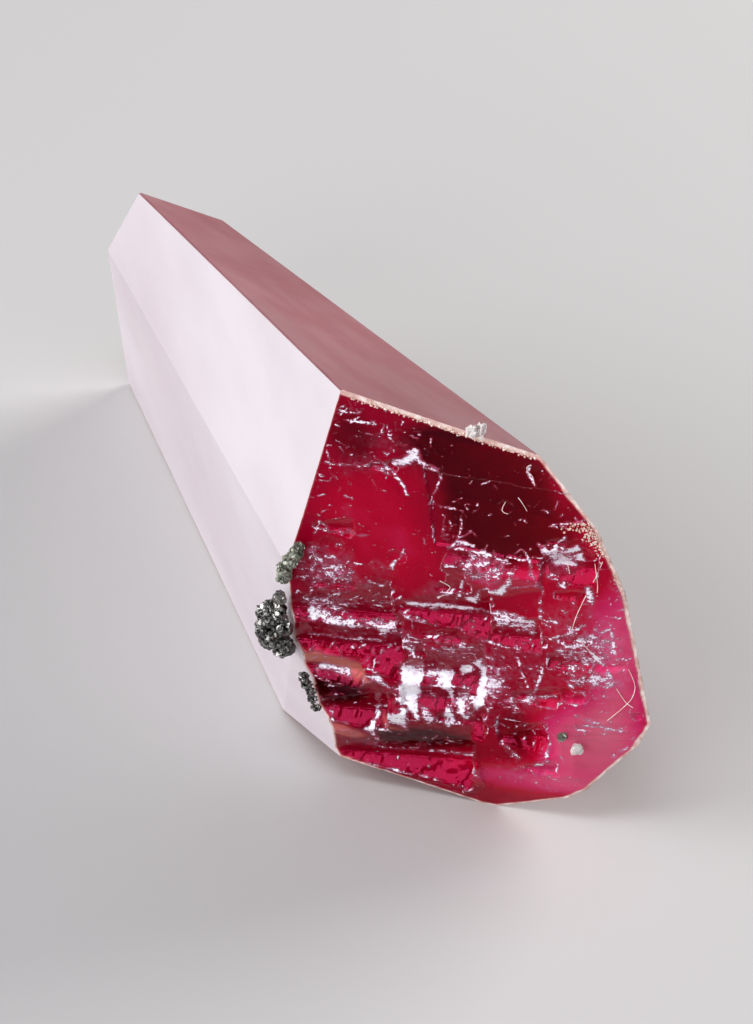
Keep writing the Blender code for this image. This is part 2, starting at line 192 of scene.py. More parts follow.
# Cracks in the picture: half width in mm, strength, then the route
CRACKS = (
    (.022, .6, (325, 465), (345, 466), (362, 467)), (.022, .65, (362, 467), (385, 472)),
    (.03, .8, (385, 472), (397, 480)), (.03, .85, (397, 480), (407, 495)),
    (.018, .7, (440, 478), (429, 505), (461, 514)), (.022, .7, (461, 514), (458, 540)),
    (.02, .6, (458, 540), (448, 549)),
)
# Ledges that show salmon, in the picture: share, then the corners
SALMON = (
    (1.0, (291, 650), (318, 655), (340, 663), (364, 674), (372, 684), (352, 686), (335, 676), (312, 667),
     (293, 663)),
    (.8, (320, 720), (343, 725), (360, 734), (366, 742), (350, 743), (336, 738), (322, 730)),
    (.7, (376, 722), (388, 727), (402, 735), (380, 731)),
)
# Zones of hair-thin nicks: middle, radii, number
NICK_ZONES = (
    (-3.3, 14.1, 1.0, .6, 26), (-1.2, 13.9, 1.6, .4, 20), (-2.9, 12.3, 1.4, .7, 40),
    (-4.3, 11.5, .6, 1.6, 24), (-4.2, 6.9, 1.4, .9, 70), (-4.8, 5.3, 1.2, .6, 50),
    (-2.4, 5.4, 1.3, .6, 40), (2.6, 2.6, .9, 1.6, 80), (6.3, 4.8, 1.5, 1.4, 80), (0.2, 4.1, 1.8, .7, 50),
    (4.6, 11.4, 1.2, 1.4, 18), (3.3, 8.9, 1.6, .6, 26), (.6, 9.6, .9, 1.1, 20), (7.0, 1.9, 1.2, 1.2, 22),
    (3.6, .1, 1.4, 1.4, 22), (-.4, -1.1, 2.2, .7, 14), (1.3, 11.4, 2.4, 1.6, 12), (7.3, 8.0, .6, 1.8, 24),
    (-2.6, 2.9, 2.2, .5, 40), (-4.2, .6, 1.0, .9, 14),
)
NICK_HALF_WIDTH = 0.02
LEAST_DENSITY = 0.10
# Zones of fine white flecks: middle, radii, density
FLECK_ZONES = (
    (-5.0, 7.6, .6, .5, .6), (-3.2, 6.5, 1.2, .5, .5), (5.2, 9.2, .9, .8, .85), (6.6, 3.9, 1.3, 1.2, .7),
    (-4.3, 6.9, 1.5, 1.2, .75), (-4.6, 4.9, 1.4, .7, .65), (-2.6, 3.8, 2.6, .9, .35),
    (2.5, 2.7, .8, 1.6, 1.0), (3.6, 2.6, 1.2, 1.0, .5), (0.4, 3.9, 1.9, .8, .65),
    (-1.2, 4.0, 1.5, .7, .6), (6.3, 4.9, 1.6, 1.6, .8), (4.9, 9.0, .8, .9, .6),
    (-2.9, 12.3, 1.2, .6, .40), (-3.6, 10.5, .5, 2.8, .28), (-4.6, .2, .7, 1.2, .4),
    (-0.6, 1.3, 1.5, 1.0, .5), (1.2, 1.0, .8, 1.0, .6), (4.2, -1.6, 3.0, .9, .35),
    (3.3, 5.7, 1.0, .6, .8), (2.0, 8.2, 1.2, .8, .5), (-2.2, 7.2, 1.6, 1.0, .35),
    (-1.9, -1.6, 3.0, .5, .45), (7.6, 8.2, .6, 2.6, .4), (-1.8, 13.3, 2.4, .7, .3),
    (1.0, 8.5, .9, 1.9, .3), (0.3, 6.6, 1.5, .9, .35), (6.7, 1.3, 1.8, 1.6, .22),
    (2.6, 3.4, 4.2, 2.4, .44), (6.0, 5.6, 2.2, 2.6, .46),
)
# Painted glow and shade seen in the red, for how light falls inside the body: middle, radii, glow and shade
# from -1, wine, to 1, light pink
GLOWS_AND_SHADES = (
    (-2.4, 9.9, 2.6, 2.6, .27), (-0.6, 7.9, 1.6, 1.6, .12), (3.0, 11.2, 2.6, 2.4, -.85),
    (0.3, 13.4, 1.6, 1.0, -.50), (-3.3, 13.2, 1.0, 1.2, -.25), (4.9, 12.0, .9, 1.6, .30),
    (6.6, 10.6, .7, 1.2, .40), (-4.1, .9, 1.2, .7, -.65), (-.4, -1.0, 2.4, .7, -.55),
    (3.6, .4, 1.0, 1.1, -.30), (6.5, .4, 2.2, 2.4, .90), (3.2, -1.8, 3.2, .8, .50),
    (7.7, 5.0, 1.3, 3.6, .65), (-4.4, 2.3, 1.6, .35, .80), (-3.9, -.95, 1.2, .25, .75),
    (3.9, 8.3, .7, .6, .45), (5.6, 6.6, 1.9, 2.0, .22), (2.3, 7.9, 1.0, .7, .45),
    (-3.9, 7.0, 1.4, 1.2, .10), (1.0, 4.2, 2.6, .9, .05),
)

# How many grains the small minerals have, and their least and greatest size in mm
CLUSTER_GRAINS, CLUSTER_SIZES = 1100, (0.05, 0.19)
DRUSE_GRAINS, DRUSE_SIZES = 520, (0.04, 0.13)
SPECK_GRAINS, SPECK_SIZES = 420, (0.03, 0.10)
BROKEN_CRYSTALS = 7
QUARTZ_POINTS = 26
QUARTZ_LONGEST = 0.24 * MM
CRUST_SIZES = (0.018, 0.06)

# Camera: place, and where it stands seen from the crystal, in degrees
CAMERA_PLACE = Vector((-66.671, -208.629, 106.611)) * MM
CAMERA_AZIMUTH = -108.461
CAMERA_ELEVATION = 24.998
CAMERA_ROLL = 2.961
LENS = 196.875  # mm
SENSOR = 36  # mm, along the picture's long side
# The picture in pixels, and the close-up of it in which the whitest facets were read
PICTURE_WIDTH, PICTURE_HEIGHT = 753, 1024
CLOSE_UP_LEFT, CLOSE_UP_TOP, CLOSE_UP_ZOOM = 290, 590, 7.467

# What is painted on the break's surface, for its material: bruises, painted glow and shade in the red,
# salmon ledges, and the coat's broken rim
ATTRIBUTES = ("bruise", "glow_and_shade", "salmon", "rim")
BREAK_TURN = -33.9  # degrees from X to the level direction along the break


def deselect():
    bpy.ops.object.select_all(action="DESELECT")


def crystal_to_world():
    lift = Matrix.Translation(Vector((0, 0, AXIS_HEIGHT)) - MIDDLE)
    return lift @ Matrix.Rotation(math.radians(-PITCH), 4, "X")


def direction(azimuth, angle_to_axis, towards_tip=True):
    """Unit vector in the crystal's frame."""
    turn, lean = math.radians(azimuth), math.radians(angle_to_axis)
    along = math.cos(lean) if towards_tip else -math.cos(lean)
    return Vector((math.sin(lean) * math.cos(turn), along, math.sin(lean) * math.sin(turn)))


def break_frame():
    """Sideways, upward and outward directions of the break, in the crystal's frame."""
    outward = direction(BREAK_AZIMUTH, BREAK_ANGLE, towards_tip=False)
    level = Matrix.Rotation(math.radians(PITCH), 3, "X") @ Vector((0, 0, 1))
    sideways = level.cross(outward).normalized()
    return sideways, outward.cross(sideways).normalized(), outward


def side_planes():
    """Point and outward normal, in the world, of each face apart from the break."""
    planes = []
    for azimuth, distance, slope in LONG_FACES:
        planes.append((direction(azimuth, 90) * distance, direction(azimuth, 90 - slope)))
    for azimuth, slope in CORNER_FACETS:
        planes.append((CORNER, direction(azimuth, 90 - slope)))
    for azimuth, angle, point in TIP_FACES:
        planes.append((point, direction(azimuth, angle)))
    place = crystal_to_world()
    turn = place.to_3x3()
    return [(place @ point, (turn @ normal).normalized()) for point, normal in planes]


def on_break(sideways_mm, upward_mm, height_mm):
    """World point over the mean plane of the break."""
    sideways, upward, outward = break_frame()
    offset = sideways * sideways_mm + upward * upward_mm + outward * height_mm
    return crystal_to_world() @ (BREAK_POINT + offset * MM)


def camera_frame():
    """Right, upward and backward directions of the camera."""
    azimuth, elevation = math.radians(CAMERA_AZIMUTH), math.radians(CAMERA_ELEVATION)
    flat = math.cos(elevation)
    back = Vector((flat * math.cos(azimuth), flat * math.sin(azimuth), math.sin(elevation)))
    level = Vector((0, 0, 1)).cross(back).normalized()
    right = Matrix.Rotation(math.radians(CAMERA_ROLL), 3, back) @ level
    return right, back.cross(right), back


def seen_at(x, y):
    """Sideways and upward place, in mm on the break, of what the picture shows at pixel x, y."""
    right, above, back = camera_frame()
    ray = right * (x - PICTURE_WIDTH / 2) - above * (y - PICTURE_HEIGHT / 2)
    ray -= back * LENS / SENSOR * PICTURE_HEIGHT
    turn = crystal_to_world().to_3x3()
    sideways, upward, outward = (turn @ axis for axis in break_frame())
    foot = on_break(0, 0, BREAK_RISE)
    reach = (foot - CAMERA_PLACE).dot(outward) / ray.dot(outward)
    offset = (CAMERA_PLACE + ray * reach - foot) / MM
    return offset.dot(sideways), offset.dot(upward)


def whitened_facets():
    """Strength and corners of each whitened facet, in mm on the break."""
    for strength, *corners in CLOSE_UP_PATCHES:
        read = [(CLOSE_UP_LEFT + x / CLOSE_UP_ZOOM, CLOSE_UP_TOP + y / CLOSE_UP_ZOOM) for x, y in corners]
        yield strength, [seen_at(*place) for place in read]
    for strength, *corners in PICTURE_PATCHES:
        yield strength, [seen_at(*place) for place in corners]
    for strength, *corners in PATCHES:
        yield strength, corners


def white_streaks():
    """Start, end, half width and strength of each bruised streak and crack, in mm on the break."""
    yield from BRUISES
    for half, strength, *route in CRACKS:
        places = [seen_at(*place) for place in route]
        for start, end in zip(places, places[1:]):
            yield *start, *end, half, strength


# Fine forms of the break, as heights in mm over its mean plane

@functools.cache
def lattice_of(seed):
    return np.random.default_rng(seed).random((NOISE_SIDE, NOISE_SIDE))


def value_noise(across, up, scale, seed):
    """Smooth noise from 0 to 1 with features about scale wide."""
    x, y = across / scale + 61.0, up / scale + 47.0
    column, row = np.floor(x).astype(int), np.floor(y).astype(int)
    x, y = x - column, y - row
    x, y = x * x * (3 - 2 * x), y * y * (3 - 2 * y)
    lattice = lattice_of(seed)
    column, row = column % NOISE_SIDE, row % NOISE_SIDE
    after, above = (column + 1) % NOISE_SIDE, (row + 1) % NOISE_SIDE
    near = lattice[row, column] * (1 - x) + lattice[row, after] * x
    far = lattice[above, column] * (1 - x) + lattice[above, after] * x
    return near * (1 - y) + far * y


def layered_noise(across, up, scale, seed):
    total = sum(value_noise(across, up, scale / 2 ** n, seed + n) / 2 ** n for n in range(4))
    return total / 1.875


def plane_height(across, up, slopes, foot_across, foot_up, foot_height):
    return foot_height + slopes[0] * (across - foot_across) + slopes[1] * (up - foot_up)


def folded_height(across, up):
    """The break's main plane, which falls away at its borders."""
    height = np.full_like(across, BREAK_RISE)
    for aside, above, tilt_aside, tilt_up in BREAK_FOLDS:
        fall = (across - aside) * math.tan(math.radians(tilt_aside))
        fall += (up - above) * math.tan(math.radians(tilt_up))
        height = np.minimum(height, BREAK_RISE - fall)
    return height


def cut_ledge(height, across, up, left, low, depth, length):
    foot = folded_height(np.array([left]), np.array([low]))[0] - depth
    notch = np.maximum(
        plane_height(across, up, TREAD, left, low, foot),
        plane_height(across, up, RISER, left, low, foot),
    )
    notch = np.maximum(notch, plane_height(across, up, STEEP, left, low, foot))
    fray = 0.25 * (value_noise(across, up, 0.22, 5) - 0.5)
    ending = np.clip((across - left - length + fray) / 0.18, 0, 1)
    return np.where(ending < 1, np.minimum(height, notch + ending * depth * 2.2), height)


def cut_recess(height, across, up, left, low, width, tall, depth):
    aside = across - left + RECESS_LEAN * (up - low)
    inside = np.minimum(np.minimum(aside, width - aside), np.minimum(up - low, low + tall - up))
    floor = folded_height(across, up) - depth
    return np.where(inside > 0, np.minimum(height, floor), height)


def raise_block(height, across, up, crest, high, tall, reach):
    foot = folded_height(np.array([crest]), np.array([high]))[0] + tall
    corner = np.minimum(
        plane_height(across, up, TREAD, crest, high, foot),
        plane_height(across, up, RISER, crest, high, foot),
    )
    corner = np.minimum(corner, plane_height(across, up, STEEP, crest, high, foot))
    fray = 0.3 * (value_noise(across, up, 0.3, 9) - 0.5)
    return np.where(across + fray > crest - reach, np.maximum(height, corner), height)


def cut_chip(height, across, up, middle, high, radius, depth):
    """A shell-shaped chip with rings."""
    spread = np.hypot(across - middle, (up - high) * 1.25) / radius
    spread = spread + 0.25 * (value_noise(across, up, radius * 0.6, int(radius * 100)) - 0.5)
    rings = 0.12 * np.cos(spread * 15)
    dish = depth * np.clip(1 - spread ** 2 + rings * spread, 0, None)
    return height - np.where(spread < 1, dish, 0)


def steps_of(across, up):
    """Very fine cleavage steps, which run level, in the streaked parts of the break."""
    rise = value_noise(across * 0.12, up, 0.5, 21) * 2.2 + up * FINE_STEPS_PER_MM
    tooth = rise - np.floor(rise)
    tooth = np.where(tooth < CREST_SHARE, tooth / CREST_SHARE, (1 - tooth) / (1 - CREST_SHARE))
    left_part = np.clip((2.2 - across) / 2.5, 0, 1) * np.clip((6.3 - up) / 1.5, 0, 1)
    right_part = np.clip((across - 4.0) / 2, 0, 1) * np.clip((7.5 - up) / 2, 0, 1) * 0.35
    return tooth * FINE_STEP_DEPTH * np.maximum(left_part, right_part)


def wandering(across, up):
    """Places moved a little, for the uneven run of the cleavage edges."""
    aside = 0.16 * (layered_noise(across, up, 0.8, 11) - 0.5)
    aside += 0.05 * (value_noise(across, up, 0.14, 12) - 0.5)
    above = 0.13 * (layered_noise(across, up, 0.9, 13) - 0.5)
    above += 0.05 * (value_noise(across, up, 0.17, 14) - 0.5)
    return across + aside, up + above


def break_height(across, up):
    height = folded_height(across, up)
    height = height + 0.05 * (layered_noise(across, up, 3.2, 3) - 0.5)
    aside, above = wandering(across, up)
    height = height - steps_of(aside, above)
    for block in BLOCKS:
        height = raise_block(height, aside, above, *block)
    for recess in RECESSES:
        height = cut_recess(height, aside, above, *recess)
    for ledge in LEDGES:
        height = cut_ledge(height, aside, above, *ledge)
    for chip in CHIPS:
        height = cut_chip(height, across, up, *chip)
    return height


def inside_of(across, up, corners):
    """Signed distance into a facet's outline, in mm."""
    nearest = np.full_like(across, np.inf)
    inside = np.zeros(across.shape, bool)
    for (x0, y0), (x1, y1) in zip(corners, corners[1:] + corners[:1]):
        run = (x1 - x0) ** 2 + (y1 - y0) ** 2
        along = np.clip(((across - x0) * (x1 - x0) + (up - y0) * (y1 - y0)) / run, 0, 1)
        nearest = np.minimum(nearest, np.hypot(across - x0 - along * (x1 - x0), up - y0 - along * (y1 - y0)))
        crosses = (y0 > up) != (y1 > up)
        with np.errstate(divide="ignore", invalid="ignore"):
            inside ^= crosses & (across < (x1 - x0) * (up - y0) / (y1 - y0) + x0)
    return np.where(inside, nearest, -nearest)


def near_line(across, up, x0, y0, x1, y1):
    """Distance to a straight line between two places, in mm."""
    run = (x1 - x0) ** 2 + (y1 - y0) ** 2
    along = np.clip(((across - x0) * (x1 - x0) + (up - y0) * (y1 - y0)) / run, 0, 1)
    return np.hypot(across - x0 - along * (x1 - x0), up - y0 - along * (y1 - y0))


def nick_mask(across, up):
    """Hair-thin white nicks, mostly along the cleavage."""
    rng = np.random.default_rng(201)
    mask = np.zeros_like(across)
    for middle, high, wide, tall, count in NICK_ZONES:
        for _ in range(count):
            x0, y0 = middle + rng.normal() * wide * 0.6, high + rng.normal() * tall * 0.6
            angle = rng.normal() * 0.9
            length = 0.08 + 0.40 * rng.random() ** 2
            x1, y1 = x0 + math.cos(angle) * length, y0 + math.sin(angle) * length
            strength = rng.uniform(0.25, 0.72)
            left = int((min(x0, x1) - 0.2 - FACE_LEFT) / FACE_STEP)
            low = int((min(y0, y1) - 0.2 - FACE_LOW) / FACE_STEP)
            reach = int((length + 0.4) / FACE_STEP) + 1
            if left < 0 or low < 0:
                continue
            part = (slice(low, low + reach), slice(left, left + reach))
            gap = near_line(across[part], up[part], x0, y0, x1, y1)
            mask[part] = np.maximum(mask[part], strength * np.clip(1.6 - gap / NICK_HALF_WIDTH / 1.6, 0, 1))
    return mask


def salmon_mask(across, up):
    aside = across + 0.2 * (layered_noise(across, up, 0.5, 35) - 0.5)
    above = up + 0.2 * (layered_noise(across, up, 0.5, 45) - 0.5)
    mask = np.zeros_like(across)
    for share, *corners in SALMON:
        depth = inside_of(aside, above, [seen_at(*place) for place in corners])
        mask = np.maximum(mask, share * np.clip(0.5 + depth / 0.25, 0, 1))
    return mask


def bruise_mask(across, up, height):
    """How densely the red is bruised white: facets and streaks, worn crests, nicks, and zones of flecks."""
    aside = across + 0.22 * (layered_noise(across, up, 0.45, 31) - 0.5)
    aside += 0.07 * (value_noise(across, up, 0.11, 36) - 0.5)
    above = up + 0.20 * (layered_noise(across, up, 0.45, 41) - 0.5)
    above += 0.07 * (value_noise(across, up, 0.13, 46) - 0.5)
    patchy = layered_noise(across * 0.45, up, 0.30, 51)
    mask = np.zeros_like(across)
    for strength, corners in whitened_facets():
        depth = inside_of(aside, above, corners)
        mask = np.maximum(mask, strength * np.clip(0.52 + depth / 0.26, 0, 1) * (0.58 + 0.85 * patchy))
    for x0, y0, x1, y1, half, strength in white_streaks():
        gap = near_line(aside, above, x0, y0, x1, y1)
        soft = np.clip(1.0 - (gap - half * 0.45) / (half * 1.3 + 0.05), 0, 1)
        mask = np.maximum(mask, soft * strength * (0.45 + 0.95 * patchy))
    bend = height * 4
    for rows, columns in ((1, 0), (-1, 0), (0, 1), (0, -1)):
        bend -= np.roll(height, (rows, columns), (0, 1))
    worn = np.clip((layered_noise(across, up, 0.8, 61) - 0.40) * 4, 0, 1)
    mask = np.maximum(mask, 0.62 * np.clip((bend - 0.006) / 0.03, 0, 1) * worn)
    mask = np.maximum(mask, nick_mask(across, up))
    density = np.full_like(across, LEAST_DENSITY)
    for middle, high, wide, tall, share in FLECK_ZONES:
        near = np.exp(-(((across - middle) / wide) ** 2 + ((up - high) / tall) ** 2) * 1.1)
        density = np.maximum(density, share * near)
    clumps = np.clip(layered_noise(across, up, 0.7, 81) * 2.4 - 0.75, 0, 1)
    return np.clip(np.maximum(mask, 0.78 * density * (0.45 + 0.55 * clumps)), 0, 1)


def glow_and_shade_of(across, up):
    """Painted light and shade in the red, from -1 to 1: a painted glow where light comes into the body,
    painted shade where it stays dim, and a little random tone.
    """
    glow_and_shade = np.zeros_like(across)
    warp = 0.5 * (layered_noise(across, up, 1.5, 91) - 0.5)
    for middle, high, wide, tall, share in GLOWS_AND_SHADES:
        near = ((across + warp - middle) / wide) ** 2 + ((up + warp - high) / tall) ** 2
        glow_and_shade += share * np.exp(-near ** 1.4)
    return np.clip(glow_and_shade + 0.16 * (layered_noise(across, up, 0.7, 95) - 0.5), -1, 1)


def rim_mask(points):
    """Where the break cuts through the pale coat of the crystal."""
    fray = layered_noise(points[:, 0] / MM + points[:, 1] / MM, points[:, 2] / MM, 0.6, 101)
    mask = np.zeros(len(points))
    thicknesses = (*COAT_EDGES, *CORNER_EDGES)
    for (point, normal), thick in zip(side_planes(), thicknesses):
        depth = -((points - np.array(point)) @ np.array(normal)) / MM
        mask = np.maximum(mask, np.clip((thick * (0.6 + 0.8 * fray) - depth) / 0.06 + 0.5, 0, 1))
    return mask


def paint(piece, name, values):
    made = piece.data.attributes.get(name) or piece.data.attributes.new(name, "FLOAT", "POINT")
    made.data.foreach_set("value", values.astype(np.float32).ravel())


def bisect_by(point, normal):
    bpy.ops.mesh.select_all(action="SELECT")
    bpy.ops.mesh.bisect(
        plane_co=point, plane_no=normal, use_fill=True, clear_inner=False, clear_outer=True, threshold=1e-7
    )


def worn_edge(first, second):
    """A plane that takes the sharp edge off two faces."""
    (point_a, normal_a), (point_b, normal_b) = first, second
    along = normal_a.cross(normal_b).normalized()
    rows = Matrix((normal_a, normal_b, along))
    corner = rows.inverted() @ Vector((normal_a.dot(point_a), normal_b.dot(point_b), 0))
    normal = (normal_a + normal_b).normalized()
    depth = EDGE_WEAR / 2 * math.tan(normal_a.angle(normal_b) / 2)
    return corner - normal * depth, normal


def points_of(piece):
    points = np.zeros(len(piece.data.vertices) * 3)
    piece.data.vertices.foreach_get("co", points)
    return points.reshape(-1, 3)


def model_crystal():
    """A fine sheet shaped as the break, drawn back to a block, from which the faces are cut."""
    deselect()
    columns = round((FACE_RIGHT - FACE_LEFT) / FACE_STEP)
    rows = round((FACE_HIGH - FACE_LOW) / FACE_STEP)
    bpy.ops.mesh.primitive_grid_add(x_subdivisions=columns, y_subdivisions=rows, size=1)
    piece = bpy.context.object
    piece.name = "rhodochrosite"
    flat = points_of(piece)
    across = (FACE_LEFT + (flat[:, 0] + 0.5) * (FACE_RIGHT - FACE_LEFT)).reshape(rows + 1, columns + 1)
    up = (FACE_LOW + (flat[:, 1] + 0.5) * (FACE_HIGH - FACE_LOW)).reshape(rows + 1, columns + 1)
    height = break_height(across, up)
    bruise = bruise_mask(across, up, height)
    # painted glow and shade of the red, for how light falls inside the body
    glow_and_shade = glow_and_shade_of(across, up)
    height += 0.05 * np.clip(bruise - 0.25, 0, 1) * (layered_noise(across, up, 0.24, 111) - 0.4)
    turn = crystal_to_world().to_3x3()
    sideways, upward, outward = (np.array(turn @ axis) for axis in break_frame())
    foot = np.array(crystal_to_world() @ BREAK_POINT)
    places = foot + MM * (
        across.reshape(-1, 1) * sideways + up.reshape(-1, 1) * upward + height.reshape(-1, 1) * outward
    )
    piece.data.vertices.foreach_set("co", places.astype(np.float32).ravel())
    paint(piece, "bruise", bruise)
    paint(piece, "glow_and_shade", glow_and_shade)
    paint(piece, "salmon", salmon_mask(across, up))
    paint(piece, "rim", rim_mask(places))
    piece.data.update()
    bpy.ops.object.mode_set(mode="EDIT")
    bpy.ops.mesh.select_mode(type="FACE")
    bpy.ops.mesh.select_all(action="SELECT")
    bpy.ops.mesh.region_to_loop()
    back = turn @ Vector((0, BLOCK_LENGTH, 0))
    bpy.ops.mesh.extrude_edges_move(TRANSFORM_OT_translate={"value": back})
    bpy.ops.mesh.edge_face_add()
    planes = side_planes()
    for point, normal in planes:
        bisect_by(point, normal)
    for first, second in WORN_EDGES:
        bisect_by(*worn_edge(planes[first], planes[second]))
    bpy.ops.mesh.select_all(action="SELECT")
    bpy.ops.mesh.normals_make_consistent(inside=False)
    bpy.ops.object.mode_set(mode="OBJECT")
    sort_faces(piece, outward)
    return piece


def sort_faces(piece, outward):
    """Gives the outer faces the coat, and leaves the break clear."""
    centres = np.zeros(len(piece.data.polygons) * 3)
    normals = np.zeros(len(piece.data.polygons) * 3)
    piece.data.polygons.foreach_get("center", centres)
    piece.data.polygons.foreach_get("normal", normals)
    centres, normals = centres.reshape(-1, 3), normals.reshape(-1, 3)
    coat = normals @ outward < 0.05
    for point, normal in side_planes():
        near = np.abs((centres - np.array(point)) @ np.array(normal)) < 0.004 * MM
        coat |= near & (normals @ np.array(normal) > 0.9999)
    sizes = np.zeros(len(piece.data.polygons), np.int32)
    piece.data.polygons.foreach_get("loop_total", sizes)
    coat |= sizes > 12
    piece.data.polygons.foreach_set("material_index", coat.astype(np.int32))
    piece.data.polygons.foreach_set("use_smooth", ~coat)
    piece.data.update()


# Materials

def new_material(name):
    material = bpy.data.materials.new(name)
    material.use_nodes = True
    tree = material.node_tree
    return material, tree, tree.nodes["Principled BSDF"], tree.nodes["Material Output"]


def node(tree, kind, **settings):
    made = tree.nodes.new(kind)
    for key, value in settings.items():
        setattr(made, key, value)
    return made


def object_noise(tree, scale, detail, longer=(1, 1, 1), turn=0.0):
    """Noise with features about 1/scale metres wide, in the object's own coordinates."""
    coordinates = node(tree, "ShaderNodeTexCoord")
    mapping = node(tree, "ShaderNodeMapping", vector_type="TEXTURE")
    mapping.inputs["Scale"].default_value = longer
    mapping.inputs["Rotation"].default_value = (0, 0, math.radians(turn))
    noise = node(tree, "ShaderNodeTexNoise")
    noise.inputs["Scale"].default_value = scale
    noise.inputs["Detail"].default_value = detail
    tree.links.new(coordinates.outputs["Object"], mapping.inputs["Vector"])
    tree.links.new(mapping.outputs["Vector"], noise.inputs["Vector"])
    return noise.outputs["Fac"]


def attribute(tree, name):
    return node(tree, "ShaderNodeAttribute", attribute_name=name).outputs["Fac"]


def between(tree, source, low, high, to_low=0.0, to_high=1.0):
    made = node(tree, "ShaderNodeMapRange")
    tree.links.new(source, made.inputs["Value"])
    made.inputs["From Min"].default_value = low
    made.inputs["From Max"].default_value = high
    made.inputs["To Min"].default_value = to_low
    made.inputs["To Max"].default_value = to_high
    return made.outputs["Result"]


def blend_colours(tree, share, first, second):
    made = node(tree, "ShaderNodeMix", data_type="RGBA")
    tree.links.new(share, made.inputs["Factor"])
    for value, socket in ((first, made.inputs[6]), (second, made.inputs[7])):
        if isinstance(value, tuple):
            socket.default_value = (*value, 1)
        else:
            tree.links.new(value, socket)
    return made.outputs[2]


def colour_steps(tree, source, steps):
    ramp = node(tree, "ShaderNodeValToRGB")
    tree.links.new(source, ramp.inputs["Fac"])
    for number, (place, colour) in enumerate(steps):
        step = ramp.color_ramp.elements[number] if number < 2 else ramp.color_ramp.elements.new(place)
        step.position = place
        step.color = (*colour, 1)
    return ramp.outputs["Color"]


def arithmetic(tree, operation, first, second):
    made = node(tree, "ShaderNodeMath", operation=operation)
    made.use_clamp = operation in ("MAXIMUM", "MULTIPLY", "SUBTRACT")
    for value, socket in ((first, made.inputs[0]), (second, made.inputs[1])):
        if isinstance(value, (int, float)):
            socket.default_value = value
        else:
            tree.links.new(value, socket)
    return made.outputs[0]


def bump(tree, shader, source, distance, strength=1.0):
    made = node(tree, "ShaderNodeBump")
    made.inputs["Distance"].default_value = distance
    made.inputs["Strength"].default_value = strength
    tree.links.new(source, made.inputs["Height"])
    tree.links.new(made.outputs["Normal"], shader.inputs["Normal"])


BODY_COLOUR = (0.955, 0.03, 0.18)
BODY_DENSITY = 300


def fill_with_red(tree, output):
    """The red of the crystal's body, which deepens with its thickness."""
    body = node(tree, "ShaderNodeVolumeAbsorption")
    body.inputs["Color"].default_value = (*BODY_COLOUR, 1)
    body.inputs["Density"].default_value = BODY_DENSITY
    tree.links.new(body.outputs["Volume"], output.inputs["Volume"])


# The clear red by its painted glow and shade, from 0, wine shade, to 1, light pink glow
CLEAR_REDS = (
    (0.0, (0.52, 0.005, 0.012)), (1.0, (0.80, 0.17, 0.27)), (0.28, (0.77, 0.006, 0.022)),
    (0.50, (0.86, 0.002, 0.05)), (0.62, (0.86, 0.002, 0.042)), (0.76, (0.85, 0.03, 0.18)),
)
# A bruise from its thin border to its dense middle
BRUISED_WHITES = (
    (0.0, (0.68, 0.34, 0.52)), (1.0, (0.95, 0.97, 1.0)), (0.30, (0.82, 0.71, 0.84)),
    (0.55, (0.93, 0.92, 0.97)),
)
BROKEN_COAT = ((0.35, (0.55, 0.32, 0.27)), (0.5, (0.72, 0.52, 0.47)), (0.66, (0.88, 0.78, 0.73)))
SALMON_COLOUR = (0.64, 0.19, 0.15)
HAZE_COLOUR = (0.82, 0.34, 0.60)
RED_GLINT, WHITE_GLINT = (0.55, 0.03, 0.12), (1, 1, 1)


def break_material():
    """Clear red with painted glow and shade, bruised white along the steps, with the coat's broken edge
    round it.
    """
    material, tree, shader, output = new_material("clear_red_break")
    density, glow_and_shade, salmon, rim = (attribute(tree, name) for name in ATTRIBUTES)
    coarse, fine = object_noise(tree, 3800, 3), object_noise(tree, 13000, 2)
    fibres = object_noise(tree, 9000, 3, (6, 1, 1), BREAK_TURN)
    grain = arithmetic(tree, "MULTIPLY", coarse, 0.60)
    grain = arithmetic(tree, "ADD", grain, arithmetic(tree, "MULTIPLY", fine, 0.70))
    grain = arithmetic(tree, "ADD", grain, arithmetic(tree, "MULTIPLY", fibres, 0.70))
    excess = arithmetic(tree, "ADD", arithmetic(tree, "MULTIPLY", density, 0.62), grain)
    bruise = between(tree, excess, 1.265, 1.385)
    clear = colour_steps(tree, between(tree, glow_and_shade, -1, 1), CLEAR_REDS)
    haze = between(tree, density, 0.10, 0.54, 0.0, 0.85)
    haze = arithmetic(tree, "MULTIPLY", haze, between(tree, coarse, 0.32, 0.62))
    clear = blend_colours(tree, salmon, clear, SALMON_COLOUR)
    clear = blend_colours(tree, haze, clear, HAZE_COLOUR)
    white = colour_steps(tree, between(tree, excess, 1.28, 1.88), BRUISED_WHITES)
    bruised = blend_colours(tree, bruise, clear, white)
    cream = colour_steps(tree, object_noise(tree, 2600, 5), BROKEN_COAT)
    colour = blend_colours(tree, rim, bruised, cream)
    tree.links.new(colour, shader.inputs["Base Color"])
    # Where the painted glow is light, the break lets less light through
    shut = between(tree, glow_and_shade, -0.35, 0.65, 0.0, 0.60)
    for cover, share in ((bruise, 0.93), (rim, 0.92), (salmon, 0.7), (haze, 0.85)):
        shut = arithmetic(tree, "MAXIMUM", shut, arithmetic(tree, "MULTIPLY", cover, share))
    tree.links.new(arithmetic(tree, "SUBTRACT", 1.0, shut), shader.inputs["Transmission Weight"])
    rough = between(tree, bruise, 0, 1, 0.06, 0.30)
    rough = arithmetic(tree, "MAXIMUM", rough, between(tree, rim, 0, 1, 0.0, 0.5))
    tree.links.new(rough, shader.inputs["Roughness"])
    shader.inputs["IOR"].default_value = 1.64
    tree.links.new(blend_colours(tree, bruise, RED_GLINT, WHITE_GLINT), shader.inputs["Specular Tint"])
    bump(tree, shader, arithmetic(tree, "MULTIPLY", grain, between(tree, bruise, 0, 1)), 0.09 * MM, 0.8)
    fill_with_red(tree, output)
    return material


